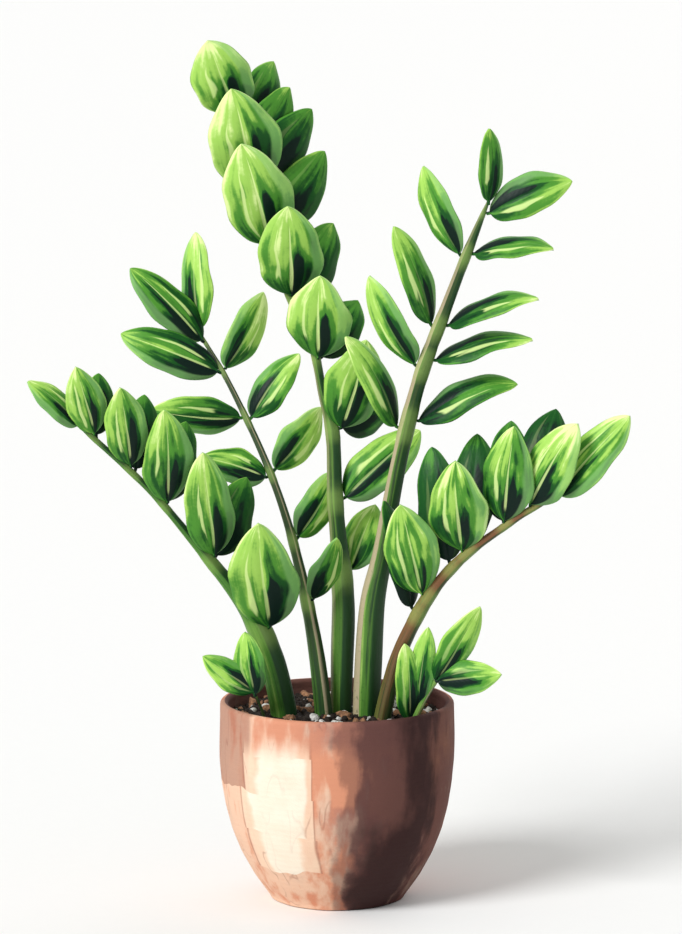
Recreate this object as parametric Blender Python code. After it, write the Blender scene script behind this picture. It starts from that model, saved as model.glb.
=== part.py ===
"""Potted ZZ plant: a round planter, its soil, five arching fronds and two young shoots.

Metres, +Z up. The origin is the centre of the planter's flat foot, and -Y is the front.
A frond is a tapering stem that carries two rows of leaflets. Each leaflet is a body of its
own, standing a hair's breadth off the stem, and most stems run out into a last leaflet.
"""

from collections import namedtuple
from math import cos, pi, radians, sin

import bmesh
import bpy
from mathutils import Quaternion, Vector

# Planter
RIM_RADIUS = 0.090
FOOT_RADIUS = 0.051
POT_HEIGHT = 0.153
UPRIGHT_RIM = 0.028  # the upright stretch of wall at the top
BELLY_POWER = 2.6  # how full the curve from foot to upright rim is
WALL = 0.006
FLOOR = 0.008

# Soil
SOIL_DROP = 0.010  # from the lip down to the soil around the stems
SOIL_MOUND = 0.003  # how much lower the soil lies at the wall
MOUND_RADIUS = 0.060  # the level middle of the soil
PLANTING_DEPTH = 0.032
ROOT_TAPER = 0.8  # a stem's thickness at its planted foot, as a share of that at the soil
CLEARANCE = 0.0003  # between any two pieces that touch

# Leaflets
BLADE_THICKNESS = 0.0022
BLADE_ARCH = 0.07  # rise of the blade's middle, as a share of its length
BASE_POWER = 0.6  # how quickly the blade widens from its stalk
TIP_POWER = 0.8  # how quickly it narrows to its point
STALK_RADIUS = 0.0011
POINT_RADIUS = 0.0003

# Facets
POT_SIDES = 40
WALL_STEPS = 7
LIP_STEPS = 6
SHARP_ANGLE = radians(50)  # facets that meet at less are shaded smooth
STEM_SIDES = 8
STEM_STEPS = 2  # rings in each span between two stem points
BLADE_SIDES = 6
BLADE_STEPS = 8

FRONT = Vector((0.0, -1.0, 0.0))
SOIL_LEVEL = POT_HEIGHT - SOIL_DROP
BELLY_TOP = POT_HEIGHT - UPRIGHT_RIM

# at: share of the stem's length, from the soil. lean: degrees from upright, + to the right.
# reach: degrees out of that plane, + to the back. turn: degrees about the leaflet's own
# length, 0 where its face looks to the front. length and width: metres.
Leaflet = namedtuple("Leaflet", "at lean reach turn length width")
# stem: points (x, y, height above the soil, thickness). rows: {side: leaflets from the soil
# up}. last: the leaflet that the stem runs out into, or None.
Frond = namedtuple("Frond", "stem rows last")

FRONDS = {
    "low_left": Frond(
        stem=(
            (-0.040, -0.012, 0.000, 0.0228),
            (-0.049, -0.016, 0.043, 0.0220),
            (-0.066, -0.022, 0.082, 0.0182),
            (-0.087, -0.029, 0.111, 0.0122),
            (-0.114, -0.038, 0.146, 0.0076),
            (-0.140, -0.047, 0.179, 0.0061),
            (-0.173, -0.058, 0.212, 0.0049),
            (-0.193, -0.066, 0.231, 0.0038),
        ),
        rows={
            "front": (
                Leaflet(0.25, -5, -24, 5, 0.092, 0.050),
                Leaflet(0.49, -5, -19, 12, 0.085, 0.036),
                Leaflet(0.68, -1, -19, 10, 0.076, 0.035),
                Leaflet(0.82, -6, -18, 12, 0.063, 0.031),
                Leaflet(0.95, -13, -17, 15, 0.054, 0.028),
            ),
            "back": (
                Leaflet(0.48, 22, 10, 15, 0.063, 0.034),
                Leaflet(0.68, 14, 12, 20, 0.061, 0.030),
                Leaflet(0.80, 7, 12, 18, 0.056, 0.028),
                Leaflet(0.94, 2, 14, 20, 0.046, 0.026),
            ),
        },
        last=Leaflet(1.00, -47, -2, 45, 0.048, 0.024),
    ),
    "tall_left": Frond(
        stem=(
            (-0.010, -0.012, 0.000, 0.0152),
            (-0.015, -0.011, 0.043, 0.0137),
            (-0.023, -0.007, 0.088, 0.0106),
            (-0.036, 0.003, 0.141, 0.0076),
            (-0.051, 0.017, 0.183, 0.0065),
            (-0.070, 0.035, 0.223, 0.0057),
            (-0.089, 0.053, 0.258, 0.0046),
            (-0.108, 0.070, 0.286, 0.0030),
        ),
        rows={
            "left": (
                Leaflet(0.59, -74, 7, 30, 0.053, 0.029),
                Leaflet(0.75, -85, -2, -20, 0.068, 0.031),
                Leaflet(0.88, -68, -1, 20, 0.080, 0.031),
                Leaflet(0.97, -44, 0, 25, 0.078, 0.030),
            ),
            "right": (
                Leaflet(0.28, 21, -15, 30, 0.053, 0.025),
                Leaflet(0.43, 30, 26, 20, 0.059, 0.028),
                Leaflet(0.60, 38, 12, 25, 0.059, 0.030),
                Leaflet(0.74, 37, 10, -30, 0.061, 0.028),
                Leaflet(0.88, 27, 8, 30, 0.065, 0.029),
                Leaflet(1.00, -3, 11, -30, 0.075, 0.027),
            ),
        },
        last=None,
    ),
    "centre": Frond(
        stem=(
            (0.003, 0.002, 0.000, 0.0182),
            (0.004, 0.002, 0.048, 0.0205),
            (0.005, 0.003, 0.086, 0.0205),
            (0.001, 0.005, 0.133, 0.0152),
            (-0.002, 0.009, 0.171, 0.0137),
            (-0.003, 0.015, 0.216, 0.0122),
            (-0.011, 0.019, 0.242, 0.0084),
            (-0.018, 0.025, 0.280, 0.0072),
            (-0.034, 0.030, 0.310, 0.0061),
            (-0.053, 0.037, 0.359, 0.0053),
            (-0.065, 0.043, 0.405, 0.0046),
            (-0.078, 0.050, 0.456, 0.0034),
        ),
        rows={
            "front": (
                Leaflet(0.46, 16, -5, 15, 0.070, 0.044),
                Leaflet(0.58, 1, -18, -6, 0.066, 0.047),
                Leaflet(0.69, -2, -20, 6, 0.073, 0.049),
                Leaflet(0.78, -15, -17, 5, 0.083, 0.051),
                Leaflet(0.87, -12, -17, 8, 0.082, 0.053),
            ),
            "back": (
                Leaflet(0.23, 22, 26, -15, 0.056, 0.030),
                Leaflet(0.35, 49, 11, -15, 0.077, 0.036),
                Leaflet(0.46, 58, 19, 20, 0.045, 0.038),
                Leaflet(0.58, 34, 26, -12, 0.055, 0.034),
                Leaflet(0.68, 27, 21, 15, 0.068, 0.039),
                Leaflet(0.80, 35, 15, 15, 0.075, 0.037),
                Leaflet(0.88, 37, 16, 18, 0.072, 0.034),
                Leaflet(0.93, 32, 15, 20, 0.060, 0.031),
                Leaflet(0.97, 25, 31, 18, 0.065, 0.030),
            ),
        },
        last=Leaflet(1.00, -20, -15, 5, 0.060, 0.046),
    ),
    "tall_right": Frond(
        stem=(
            (0.022, -0.010, 0.000, 0.0235),
            (0.024, -0.012, 0.043, 0.0243),
            (0.027, -0.015, 0.090, 0.0220),
            (0.034, -0.017, 0.121, 0.0182),
            (0.041, -0.022, 0.167, 0.0152),
            (0.052, -0.029, 0.222, 0.0137),
            (0.064, -0.036, 0.268, 0.0122),
            (0.078, -0.042, 0.306, 0.0106),
            (0.094, -0.049, 0.350, 0.0084),
            (0.112, -0.057, 0.396, 0.0053),
        ),
        rows={
            "left": (
                Leaflet(0.55, -28, -9, 40, 0.079, 0.027),
                Leaflet(0.67, -28, -8, -35, 0.075, 0.028),
                Leaflet(0.75, -20, -5, 35, 0.078, 0.026),
                Leaflet(0.89, -23, -2, -35, 0.070, 0.026),
            ),
            "right": (
                Leaflet(0.57, 67, -9, -45, 0.079, 0.028),
                Leaflet(0.69, 76, -10, -60, 0.074, 0.028),
                Leaflet(0.76, 71, -11, -60, 0.070, 0.027),
                Leaflet(0.90, 84, -12, -58, 0.059, 0.026),
                Leaflet(0.98, 68, -5, -20, 0.065, 0.030),
            ),
        },
        last=Leaflet(1.00, 1, 2, 35, 0.053, 0.022),
    ),
    "low_right": Frond(
        stem=(
            (0.034, -0.028, 0.000, 0.0152),
            (0.044, -0.033, 0.043, 0.0137),
            (0.057, -0.039, 0.075, 0.0122),
            (0.073, -0.046, 0.104, 0.0106),
            (0.096, -0.056, 0.131, 0.0080),
            (0.118, -0.065, 0.149, 0.0065),
            (0.143, -0.075, 0.168, 0.0053),
            (0.166, -0.083, 0.181, 0.0038),
        ),
        rows={
            "front": (
                Leaflet(0.44, -13, -22, 4, 0.078, 0.039),
                Leaflet(0.63, -5, -24, -8, 0.077, 0.042),
                Leaflet(0.80, 4, -21, -12, 0.078, 0.036),
                Leaflet(0.90, 27, -21, -18, 0.075, 0.036),
            ),
            "back": (
                Leaflet(0.38, -14, 0, 45, 0.083, 0.030),
                Leaflet(0.57, -9, 9, -15, 0.086, 0.034),
                Leaflet(0.65, 5, 19, -15, 0.085, 0.036),
                Leaflet(0.79, 5, 20, -15, 0.077, 0.034),
                Leaflet(0.90, 15, 18, -15, 0.074, 0.036),
            ),
        },
        last=Leaflet(0.99, 39, -9, -28, 0.078, 0.032),
    ),
}

# A young shoot is grown together with its few leaflets, so it is one body.
SHOOTS = {
    "left_shoot": Frond(
        stem=(
            (-0.052, -0.030, 0.000, 0.0034),
            (-0.058, -0.033, 0.016, 0.0030),
            (-0.064, -0.036, 0.028, 0.0026),
        ),
        rows={
            "leaflets": (
                Leaflet(1.00, -54, -8, 25, 0.046, 0.021),
                Leaflet(0.95, -9, -4, -15, 0.044, 0.022),
            ),
        },
        last=None,
    ),
    "right_shoot": Frond(
        stem=(
            (0.054, -0.037, 0.000, 0.0072),
            (0.063, -0.041, 0.018, 0.0064),
            (0.071, -0.045, 0.034, 0.0048),
        ),
        rows={
            "leaflets": (
                Leaflet(0.12, -3, -12, 25, 0.061, 0.020),
                Leaflet(0.40, 7, -7, -25, 0.062, 0.019),
                Leaflet(0.96, 31, -9, 25, 0.069, 0.024),
                Leaflet(1.00, 80, -21, 25, 0.056, 0.027),
            ),
        },
        last=None,
    ),
}


def clear_scene():
    """Remove whatever the file opened with."""
    for existing in list(bpy.data.objects):
        bpy.data.objects.remove(existing)


def plain_material(name, colour, roughness):
    """A non-metallic material of one colour."""
    material = bpy.data.materials.new(name)
    material.use_nodes = True
    shader = material.node_tree.nodes["Principled BSDF"]
    shader.inputs["Base Color"].default_value = (*colour, 1.0)
    shader.inputs["Roughness"].default_value = roughness
    shader.inputs["Metallic"].default_value = 0.0
    return material


def loft(name, rings, material):
    """A closed skin over a row of rings with equal point counts, capped at both ends."""
    bm = bmesh.new()
    rows = [[bm.verts.new(point) for point in ring] for ring in rings]
    for lower, upper in zip(rows, rows[1:]):
        for k in range(len(lower)):
            bm.faces.new((lower[k - 1], lower[k], upper[k], upper[k - 1]))
    bm.faces.new(rows[0])
    bm.faces.new(rows[-1])
    bmesh.ops.recalc_face_normals(bm, faces=bm.faces)
    mesh = bpy.data.meshes.new(name)
    bm.to_mesh(mesh)
    bm.free()
    mesh.shade_smooth()
    mesh.set_sharp_from_angle(angle=SHARP_ANGLE)
    mesh.materials.append(material)
    obj = bpy.data.objects.new(name, mesh)
    bpy.context.scene.collection.objects.link(obj)
    return obj


def combine(target, helper, operation):
    """Cut a hidden helper from the target, or unite the two."""
    helper.hide_render = True
    helper.display_type = "WIRE"
    modifier = target.modifiers.new(helper.name, "BOOLEAN")
    modifier.operation = operation
    modifier.object = helper


# Planter and soil


def outer_radius(z):
    """The planter's outer wall: a full belly that rises from the foot to the upright rim."""
    rise = min(z / BELLY_TOP, 1.0)
    return FOOT_RADIUS + (RIM_RADIUS - FOOT_RADIUS) * (1.0 - (1.0 - rise) ** BELLY_POWER)


def wall_heights(bottom):
    """Heights up the curved wall. Soil and planter share them, so their facets stay apart."""
    return [bottom + (BELLY_TOP - bottom) * step / WALL_STEPS for step in range(WALL_STEPS + 1)]


def turned(name, profile, material):
    """A round solid from (radius, height) points."""
    angles = [2 * pi * k / POT_SIDES for k in range(POT_SIDES)]
    rings = [[Vector((r * cos(angle), r * sin(angle), z)) for angle in angles] for r, z in profile]
    return loft(name, rings, material)


def make_pot(material):
    """From the middle of the inner floor up the inside, over the round lip and down to the foot."""
    lip = WALL / 2
    inside = [(outer_radius(z) - WALL, z) for z in wall_heights(FLOOR)]
    over = []
    for step in range(LIP_STEPS + 1):
        angle = pi - pi * step / LIP_STEPS
        over.append((RIM_RADIUS - lip + lip * cos(angle), POT_HEIGHT - lip + lip * sin(angle)))
    outside = [(outer_radius(z), z) for z in reversed(wall_heights(0.0))]
    return turned("pot", inside + over + outside, material)


def make_soil(material):
    """Fills the planter to below its lip, highest around the stems."""
    heights = wall_heights(FLOOR)
    profile = [(outer_radius(FLOOR) - WALL - CLEARANCE, FLOOR + CLEARANCE)]
    profile += [(outer_radius(z) - WALL - CLEARANCE, z) for z in heights[1:]]
    profile += [(RIM_RADIUS - WALL - CLEARANCE, SOIL_LEVEL - SOIL_MOUND), (MOUND_RADIUS, SOIL_LEVEL)]
    return turned("soil", profile, material)


# Stems


def smooth_path(points):
    """(place, thickness) stations along a Catmull-Rom curve through (x, y, z, thickness) points."""
    rows = [Vector(point) for point in points]
    rows = [2 * rows[0] - rows[1], *rows, 2 * rows[-1] - rows[-2]]
    stations = []
    for before, start, end, after in zip(rows, rows[1:], rows[2:], rows[3:]):
        for step in range(STEM_STEPS):
            t = step / STEM_STEPS
            stations.append(
                start
                + (end - before) * (t / 2)
                + (2 * before - 5 * start + 4 * end - after) * (t * t / 2)
                + (3 * start - before - 3 * end + after) * (t**3 / 2)
            )
    stations.append(rows[-2])
    return [(Vector(station[:3]), station[3]) for station in stations]


def stem_stations(frond):
    """The stem above the soil, in world places."""
    return smooth_path([(x, y, SOIL_LEVEL + height, thickness) for x, y, height, thickness in frond.stem])


def tangent_at(stations, index):
    """The stem's direction at one station."""
    below = stations[max(index - 1, 0)][0]
    above = stations[min(index + 1, len(stations) - 1)][0]
    return (above - below).normalized()


def along_stem(stations, share):
    """Place, direction and radius at a share of the stem's length."""
    lengths = [(b[0] - a[0]).length for a, b in zip(stations, stations[1:])]
    left = share * sum(lengths)
    index = 0
    while index < len(lengths) - 1 and left > lengths[index]:
        left -= lengths[index]
        index += 1
    (low, low_thick), (high, high_thick) = stations[index], stations[index + 1]
    part = min(left / lengths[index], 1.0)
    thickness = low_thick + (high_thick - low_thick) * part
    return low.lerp(high, part), (high - low).normalized(), thickness / 2


def ring(centre, across, face, half_width, half_depth, sides):
    """An ellipse of points around a centre."""
    angles = [2 * pi * k / sides for k in range(sides)]
    return [
        centre + across * (half_width * cos(angle)) + face * (half_depth * sin(angle))
        for angle in angles
    ]


def stem_rings(stations, grow=0.0):
    """Round rings up the stem from its foot in the soil, wider by grow all round."""
    foot, thickness = stations[0]
    root = foot - Vector((0.0, 0.0, PLANTING_DEPTH + grow))
    sunk = [(root, thickness * ROOT_TAPER)] + stations
    rings = []
    for index, (centre, thick) in enumerate(sunk):
        tangent = tangent_at(sunk, index)
        across = FRONT.cross(tangent).normalized()
        radius = thick / 2 + grow
        rings.append(ring(centre, across, tangent.cross(across), radius, radius, STEM_SIDES))
    return rings


def socket_cutter(name, stations, material):
    """The hole that a stem stands in: its lowest stretch, wider by the clearance."""
    lowest = [station for station in stations if station[0].z < SOIL_LEVEL + PLANTING_DEPTH]
    return loft(name, stem_rings(lowest, CLEARANCE), material)


# Leaflets


def direction(lean, reach):
    """A unit vector: leaning to the right from upright, and reaching to the back."""
    lean, reach = radians(lean), radians(reach)
    return Vector((sin(lean) * cos(reach), sin(reach), cos(lean) * cos(reach)))


def blade_outline(v):
    """The blade's width at share v of its length, as a share of its greatest width."""
    widest = BASE_POWER / (BASE_POWER + TIP_POWER)
    peak = widest**BASE_POWER * (1.0 - widest) ** TIP_POWER
    return v**BASE_POWER * (1.0 - v) ** TIP_POWER / peak


def blade_rings(leaflet, base, sides):
    """Flat elliptic rings from the stalk to the point, arched towards the blade's face."""
    along = direction(leaflet.lean, leaflet.reach)
    face = (FRONT - along * FRONT.dot(along)).normalized()
    face.rotate(Quaternion(along, radians(leaflet.turn)))
    across = face.cross(along)
    rings = []
    for step in range(BLADE_STEPS + 1):
        v = step / BLADE_STEPS
        rise = BLADE_ARCH * leaflet.length * 4 * v * (1.0 - v)
        end = STALK_RADIUS + (POINT_RADIUS - STALK_RADIUS) * v
        half_width = max(blade_outline(v) * leaflet.width / 2, end)
        half_depth = end + (BLADE_THICKNESS / 2 - end) * 4 * v * (1.0 - v)
        centre = base + along * (leaflet.length * v) + face * rise
        rings.append(ring(centre, across, face, half_width, half_depth, sides))
    return rings


def leaflet_base(stations, leaflet):
    """Where the stalk ends, just clear of the stem's skin on the side that the leaflet grows."""
    place, tangent, radius = along_stem(stations, leaflet.at)
    along = direction(leaflet.lean, leaflet.reach)
    outward = (along - tangent * along.dot(tangent)).normalized()
    return place + outward * (radius + STALK_RADIUS + CLEARANCE)


def make_frond(name, frond, materials):
    """The stem and the leaflets of one frond. Returns the cutter for its hole in the soil."""
    stations = stem_stations(frond)
    rings = stem_rings(stations)
    if frond.last:
        rings = rings[:-1] + blade_rings(frond.last, stations[-1][0], STEM_SIDES)
    loft(f"{name}_stem", rings, materials["stem"])
    for side, leaflets in frond.rows.items():
        for number, leaflet in enumerate(leaflets, 1):
            rings = blade_rings(leaflet, leaflet_base(stations, leaflet), BLADE_SIDES)
            loft(f"{name}_leaflet_{side}_{number}", rings, materials[side])
    return socket_cutter(f"{name}_socket", stations, materials["soil"])


def make_shoot(name, shoot, materials):
    """A young stem united with its leaflets. Returns the cutter for its hole in the soil."""
    stations = stem_stations(shoot)
    body = loft(name, stem_rings(stations), materials["young"])
    for number, leaflet in enumerate(shoot.rows["leaflets"], 1):
        base = along_stem(stations, leaflet.at)[0]
        blade = loft(f"{name}_blade_{number}", blade_rings(leaflet, base, BLADE_SIDES), materials["young"])
        combine(body, blade, "UNION")
    return socket_cutter(f"{name}_socket", stations, materials["soil"])


def main():
    clear_scene()
    light_green = plain_material("leaflet_light", (0.30, 0.52, 0.13), 0.35)
    dark_green = plain_material("leaflet_dark", (0.05, 0.19, 0.05), 0.35)
    materials = {
        "pot": plain_material("terracotta", (0.60, 0.27, 0.17), 0.80),
        "soil": plain_material("potting_soil", (0.045, 0.030, 0.022), 0.95),
        "stem": plain_material("stem", (0.14, 0.27, 0.06), 0.45),
        "young": plain_material("young_shoot", (0.28, 0.52, 0.12), 0.35),
        "front": light_green,
        "back": dark_green,
        "left": dark_green,
        "right": light_green,
    }
    make_pot(materials["pot"])
    soil = make_soil(materials["soil"])
    cutters = [make_frond(name, frond, materials) for name, frond in FRONDS.items()]
    cutters += [make_shoot(name, shoot, materials) for name, shoot in SHOOTS.items()]
    for cutter in cutters:
        combine(soil, cutter, "DIFFERENCE")


main()
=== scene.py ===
"""Potted ZZ plant: the finished planter, soil, stems and leaflets, and a plain studio stage.

Every piece takes its size and place from the plain solid that it stands for: a stem follows
slices of its solid, and a leaflet follows the two ends, the width and the face of its own.
Laid out as an add-on, with one operator for each group of pieces and one for the stage.
"""

import random
from collections import namedtuple
from math import cos, hypot, pi, radians, sin

import bmesh
import bpy
import numpy as np
from bpy.props import FloatProperty, FloatVectorProperty, IntProperty, PointerProperty
from mathutils import Matrix, Vector, noise


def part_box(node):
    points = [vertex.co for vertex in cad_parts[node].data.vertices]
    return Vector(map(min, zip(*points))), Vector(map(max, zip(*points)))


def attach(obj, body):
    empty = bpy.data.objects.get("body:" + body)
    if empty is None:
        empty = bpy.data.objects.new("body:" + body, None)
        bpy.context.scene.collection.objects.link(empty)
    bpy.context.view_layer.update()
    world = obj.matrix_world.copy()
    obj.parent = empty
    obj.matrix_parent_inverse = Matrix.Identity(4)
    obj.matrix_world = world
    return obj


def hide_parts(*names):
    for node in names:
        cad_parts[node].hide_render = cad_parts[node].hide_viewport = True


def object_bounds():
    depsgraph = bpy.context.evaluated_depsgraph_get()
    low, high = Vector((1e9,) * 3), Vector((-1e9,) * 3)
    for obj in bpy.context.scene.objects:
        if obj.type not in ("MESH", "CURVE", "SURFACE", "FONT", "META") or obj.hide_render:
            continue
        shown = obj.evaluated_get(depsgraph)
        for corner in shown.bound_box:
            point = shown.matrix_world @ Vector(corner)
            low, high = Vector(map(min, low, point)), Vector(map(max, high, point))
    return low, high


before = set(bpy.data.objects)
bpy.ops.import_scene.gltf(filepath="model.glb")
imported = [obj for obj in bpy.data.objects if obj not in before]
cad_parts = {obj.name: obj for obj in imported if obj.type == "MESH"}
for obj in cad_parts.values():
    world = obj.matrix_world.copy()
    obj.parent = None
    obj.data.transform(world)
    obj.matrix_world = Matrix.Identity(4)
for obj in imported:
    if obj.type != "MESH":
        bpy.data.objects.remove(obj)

bl_info = {
    "name": "Potted ZZ plant",
    "version": (1, 0, 0),
    "blender": (4, 5, 0),
    "location": "3D View > Sidebar > ZZ plant",
    "description": "Builds the finished pieces of a potted ZZ plant around its packed solids",
    "category": "Object",
}

CAD_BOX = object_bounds()
FRONT = np.array((0.0, -1.0, 0.0))

FRONDS = ("low_left", "tall_left", "centre", "tall_right", "low_right")
LAST_LEAFLETS = ("low_left", "centre", "tall_right", "low_right")  # stems that run out into one
SHOOTS = ("left_shoot", "right_shoot")

# How a row of leaflets is coloured and bent. slot: which material it takes, painted lit, painted in
# shade (some back rows) or young. tone: 0 deep green to 1 pale lime; the shaded back rows sit low as
# painted shade. stripes: how strong the bands along the blade are. core: how strong the painted shade
# is beside its midrib and at its base. dark_side: the half that holds the painted shade, + for the
# right of the blade seen from its base. rib: how pale the midrib is. bow: how far the blade bends
# sideways, as a share of length.
Look = namedtuple("Look", "slot tone stripes core dark_side rib bow")
LOOKS = {
    "low_left_leaflet_front": Look("leaflet_light", 0.59, 1.0, 1.0, 1, 0.5, 0.0),
    "low_left_leaflet_back": Look("leaflet_dark", 0.25, 0.6, 1.1, 1, 0.0, 0.0),
    "low_left_last": Look("leaflet_light", 0.52, 0.9, 0.9, -1, 0.2, 0.0),
    "tall_left_leaflet_left": Look("leaflet_light", 0.40, 1.2, 0.8, -1, 0.6, 0.0),
    "tall_left_leaflet_right": Look("leaflet_light", 0.63, 1.0, 1.2, -1, 0.3, 0.0),
    "tall_left_leaflet_right_1": Look("leaflet_light", 0.38, 0.8, 1.2, -1, 0.0, 0.0),
    "centre_leaflet_front": Look("leaflet_light", 0.66, 1.0, 1.2, 1, 0.8, 0.0),
    "centre_leaflet_back": Look("leaflet_dark", 0.31, 0.7, 1.2, 1, 0.0, 0.0),
    "centre_leaflet_back_1": Look("leaflet_light", 0.66, 1.3, 0.6, 1, 0.6, 0.0),
    "centre_leaflet_back_2": Look("leaflet_light", 0.64, 1.2, 0.8, 1, 0.4, 0.0),
    "centre_last": Look("leaflet_light", 0.66, 0.9, 1.1, 1, 0.5, 0.0),
    "tall_right_leaflet_left": Look("leaflet_light", 0.58, 0.7, 1.0, 1, 0.1, 0.0),
    "tall_right_leaflet_right": Look("leaflet_light", 0.42, 0.8, 0.8, -1, 0.0, -0.06),
    "tall_right_last": Look("leaflet_light", 0.40, 0.8, 0.5, 1, 0.0, 0.0),
    "low_right_leaflet_front": Look("leaflet_light", 0.54, 1.6, 0.9, 1, 0.6, 0.0),
    "low_right_leaflet_back": Look("leaflet_dark", 0.11, 0.6, 0.8, 1, 0.0, 0.0),
    "low_right_last": Look("leaflet_light", 0.56, 1.2, 0.8, 1, 0.5, 0.0),
    "shoot": Look("young_shoot", 0.56, 0.8, 1.35, 1, 0.25, 0.0),
}

# Leaflets of the young shoots: root and point as shares of the shoot's own box, and width as a
# share of length.
SHOOT_LEAFLETS = {
    "left_shoot": (
        ((0.75, 0.33, 0.55), (0.00, 0.14, 0.82), 0.46),
        ((0.77, 0.33, 0.53), (0.62, 0.16, 1.00), 0.48),
    ),
    "right_shoot": (
        ((0.10, 0.85, 0.27), (0.05, 0.55, 0.76), 0.33),
        ((0.18, 0.80, 0.36), (0.28, 0.62, 0.86), 0.30),
        ((0.36, 0.62, 0.53), (0.80, 0.30, 1.00), 0.35),
        ((0.38, 0.58, 0.53), (1.00, 0.02, 0.60), 0.48),
    ),
}

# Colouring of each stem. tone: 0 deep green to 1 lime. tan: how strong the pale strip is; where it
# runs down the lit left edge it is a painted highlight. tan_at: where the strip runs, -1 at the left to
# 1 at the right. tan_wide: its half width. brown: how brown the stem turns towards its point.
# shade: how wide and dark the painted shade down its right side is.
StemLook = namedtuple("StemLook", "tone tan tan_at tan_wide brown shade")
STEM_LOOKS = {
    "low_left": StemLook(0.46, 0.0, 0.0, 0.2, 0.0, 1.0),
    "tall_left": StemLook(0.04, 0.65, 0.42, 0.17, 0.1, 0.4),
    "centre": StemLook(0.40, 0.35, -0.95, 0.25, 0.15, 1.25),
    "tall_right": StemLook(0.36, 0.85, -0.80, 0.28, 0.1, 0.95),
    "low_right": StemLook(0.14, 0.10, -0.30, 0.20, 1.0, 0.6),
    "left_shoot": StemLook(0.10, 0.0, 0.0, 0.2, 0.1, 0.3),
    "right_shoot": StemLook(0.60, 0.6, 0.5, 0.3, 0.0, 0.2),
}

# Places across a blade where its surface is worked out, from the midrib to the margin.
HALF_COLUMNS = (0.0, 0.035, 0.09, 0.18, 0.31, 0.46, 0.62, 0.77, 0.88, 0.955, 1.0)
BLADE_ROWS = 30
STALK_ROWS = 4
STEM_ROWS = 84
STEM_SIDES = 24
NECK_REACH = 0.100  # a last leaflet's neck lies within this much of the stem's top
END_SLICE = 0.002  # thickness of the slice that finds the end ring of a plain leaflet
JOINT_REACH = 0.0035  # a stem is swollen this far past its own radius round a leaflet's root
BED_SIDES = 144
FLOOR_HALF = 45.0
FLOOR_DROP = 0.0004  # the floor lies this far below the planter's foot

Blade = namedtuple("Blade", "base along face right length half_width rise")


# Sizes and colours that a user would change


def length(name, description, default):
    """A length property in metres."""
    return FloatProperty(
        name=name, description=description, default=default, min=0.0, unit="LENGTH", precision=4
    )


def share(name, description, default):
    """A factor property from 0 to 1."""
    return FloatProperty(
        name=name, description=description, default=default, min=0.0, max=1.0, subtype="FACTOR"
    )


def colour(name, description, default):
    """A colour property."""
    return FloatVectorProperty(
        name=name, description=description, default=default, min=0.0, max=1.0, size=3, subtype="COLOR"
    )


def strength(name, description, default):
    """A property for the strength of a light."""
    return FloatProperty(name=name, description=description, default=default, min=0.0)


class ZZ_PG_planter(bpy.types.PropertyGroup):
    """Sizes and colours of the planter."""

    # The palest colour is a painted highlight on the front left, with the pale wash as its outer coat.
    # The umber is painted shade on the front right and on the inner wall, darkest low down in the nearly
    # black colour. The rosy clay leans with the same painted light, stronger towards the right.
    painted_highlight: colour("Bleached clay", "Palest panel on the planter's left", (0.84, 0.76, 0.63))
    pale: colour("Pale wash", "Thin pale wash", (0.82, 0.60, 0.44))
    clay: colour("Clay", "Main colour of the clay", (0.64, 0.275, 0.165))
    rosy: colour("Rosy clay", "Clay with more red and grey in it", (0.40, 0.170, 0.125))
    rust: colour("Rust wash", "Darker red-brown stains", (0.26, 0.095, 0.065))
    umber: colour("Umber wash", "Dark stain on the planter's right", (0.105, 0.046, 0.042))
    night: colour("Darkest wash", "Nearly black part of the stain", (0.028, 0.012, 0.012))
    wobble: length("Wobble", "How far the thrown wall strays from a true circle", 0.0009)
    edge: length("Foot edge", "Rounding of the foot's outer edge", 0.0015)
    sides: IntProperty(name="Sides", description="Facets round the planter", default=144, min=24)


class ZZ_PG_soil(bpy.types.PropertyGroup):
    """Sizes and colours of the potting mix."""

    peat: colour("Peat", "Dark potting mix", (0.030, 0.020, 0.015))
    grit: colour("Grit", "Pale mineral grains", (0.72, 0.70, 0.66))
    bark: colour("Bark", "Chips of bark", (0.17, 0.085, 0.045))
    relief: length("Relief", "Height of the surface's lumps", 0.0022)
    crumb: length("Crumb", "Mean radius of a crumb", 0.0021)
    crumbs: IntProperty(name="Crumbs", description="Number of peat crumbs", default=620, min=0)
    grains: IntProperty(name="Grains", description="Number of pale grains", default=85, min=0)
    chips: IntProperty(name="Chips", description="Number of bark chips", default=90, min=0)


class ZZ_PG_stems(bpy.types.PropertyGroup):
    """Sizes and colours of the stems."""

    green: colour("Green", "Main green of a stem", (0.065, 0.215, 0.022))
    lime: colour("Lime", "Lit streaks of a stem", (0.34, 0.54, 0.12))
    deep: colour("Deep green", "Shaded side of a stem", (0.0080, 0.0500, 0.0100))
    # The tan is partly a painted highlight, where its strip runs down a stem's lit left edge.
    tan: colour("Tan", "Dry strip down a stem", (0.52, 0.42, 0.28))
    brown: colour("Brown", "Young end of the low right stem", (0.19, 0.080, 0.030))
    swelling: share("Swelling", "How much thicker a stem is where a leaflet joins", 0.10)
    girth: share("Girth", "Radius as a share of the plain solid's", 0.87)
    flute: share("Flute", "Depth of the faint ribs along a stem, as a share of its radius", 0.035)


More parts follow.
